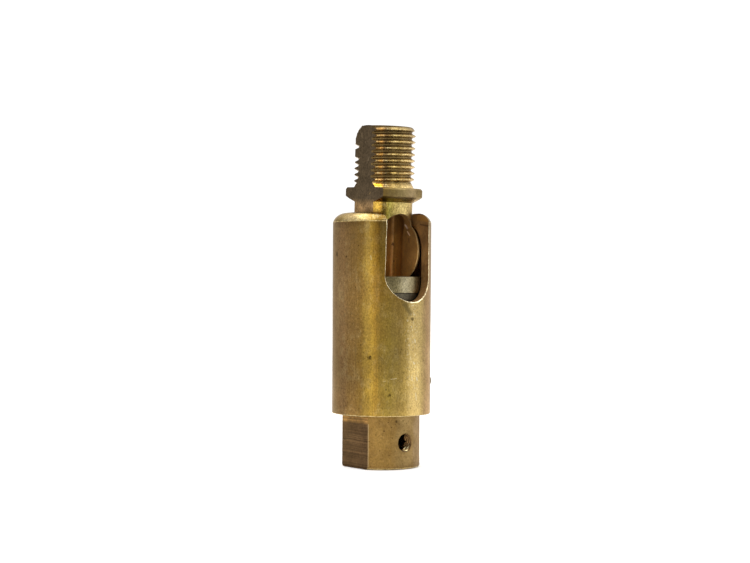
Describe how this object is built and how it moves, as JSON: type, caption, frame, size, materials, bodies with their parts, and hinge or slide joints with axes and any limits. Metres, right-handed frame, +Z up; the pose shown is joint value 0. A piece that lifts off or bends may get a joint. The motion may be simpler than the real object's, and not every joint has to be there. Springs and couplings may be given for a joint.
{
  "type": "swivel electrode holder",
  "caption": "Brass swivel holder: a hollow threaded ball stem tilts in a slotted sleeve that turns on a threaded base plug.",
  "frame": {"origin": "centre of the base plug's bottom face", "axes": "+Z up the plug and sleeve axis towards the threaded stem, +X out through the middle of the sleeve's slot, wrench flats face +Y and -Y"},
  "size_m": [0.016, 0.016, 0.0552],
  "materials": {
    "plug_brass": "tarnished, milled and turned",
    "sleeve_brass": "tarnished satin, drawn lengthwise",
    "stem_brass": "tarnished, turned",
    "seat_steel": "dull, warm grey",
    "dark_steel": "dull, dark grey",
    "spring_steel": "drawn wire",
    "pin_steel": "dull"
  },
  "bodies": {
    "base": {"base_plug": "plug_brass"},
    "sleeve": {"swivel_sleeve": "sleeve_brass", "ball_seat": "seat_steel", "thrust_washer": "dark_steel", "friction_spring": "spring_steel", "spring_washer": "dark_steel", "retaining_pin": "pin_steel"},
    "stem": {"ball_stem": "stem_brass"}
  },
  "joints": [
    {"name": "sleeve_turn", "type": "hinge", "parent": "base", "child": "sleeve", "pos_m": [0, 0, 0.0139], "axis": [0, 0, 1], "range_deg": [-165, 165]},
    {"name": "stem_tilt", "type": "hinge", "parent": "sleeve", "child": "stem", "pos_m": [0, 0, 0.035], "axis": [0, 1, 0], "range_deg": [-2.5, 82]}
  ]
}
